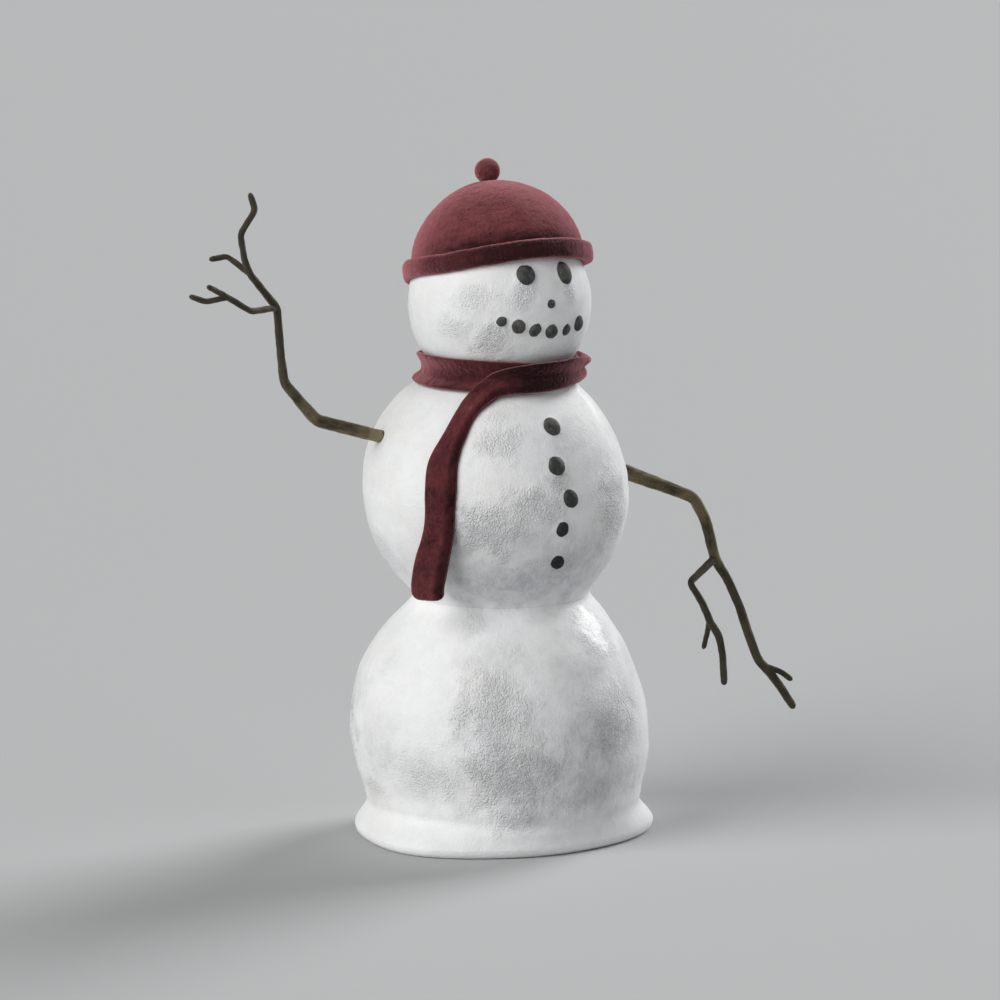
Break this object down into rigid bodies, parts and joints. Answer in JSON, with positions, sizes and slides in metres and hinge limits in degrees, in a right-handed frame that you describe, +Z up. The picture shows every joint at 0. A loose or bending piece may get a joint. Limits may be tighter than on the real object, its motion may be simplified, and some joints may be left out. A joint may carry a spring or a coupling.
{
  "type": "snowman",
  "caption": "Snowman of stacked snowballs on a flared foot, with a coal face and buttons, branched stick arms, a wool hat with a bobble and a long scarf.",
  "frame": {"origin": "middle of the foot, on the ground", "axes": "+Z up, the snowman faces -Y and its right arm is on -X"},
  "size_m": [1.5281, 0.6566, 1.4748],
  "materials": {
    "snow": "packed snow, grainy and matt, with icy patches",
    "coal": "worn matt coal pebbles",
    "hat_wool": "thick felted wool, dusky red",
    "scarf_wool": "felted wool cloth, dark red",
    "stick": "dry bark, olive brown"
  },
  "bodies": {
    "root": {"snow_bottom_ball": "snow", "snow_middle_ball": "snow", "snow_head_ball": "snow", "eye_right": "coal", "eye_left": "coal", "nose": "coal", "mouth_1": "coal", "mouth_2": "coal", "mouth_3": "coal", "mouth_4": "coal", "mouth_5": "coal", "mouth_6": "coal", "button_1": "coal", "button_2": "coal", "button_3": "coal", "button_4": "coal", "button_5": "coal", "hat_crown": "hat_wool", "hat_brim": "hat_wool", "hat_bobble": "hat_wool", "scarf": "scarf_wool", "right_arm_stem": "stick", "right_arm_lower_twig": "stick", "right_arm_upper_twig": "stick", "left_arm_stem": "stick", "left_arm_side_twig": "stick", "left_arm_tip_twig": "stick"}
  },
  "joints": []
}
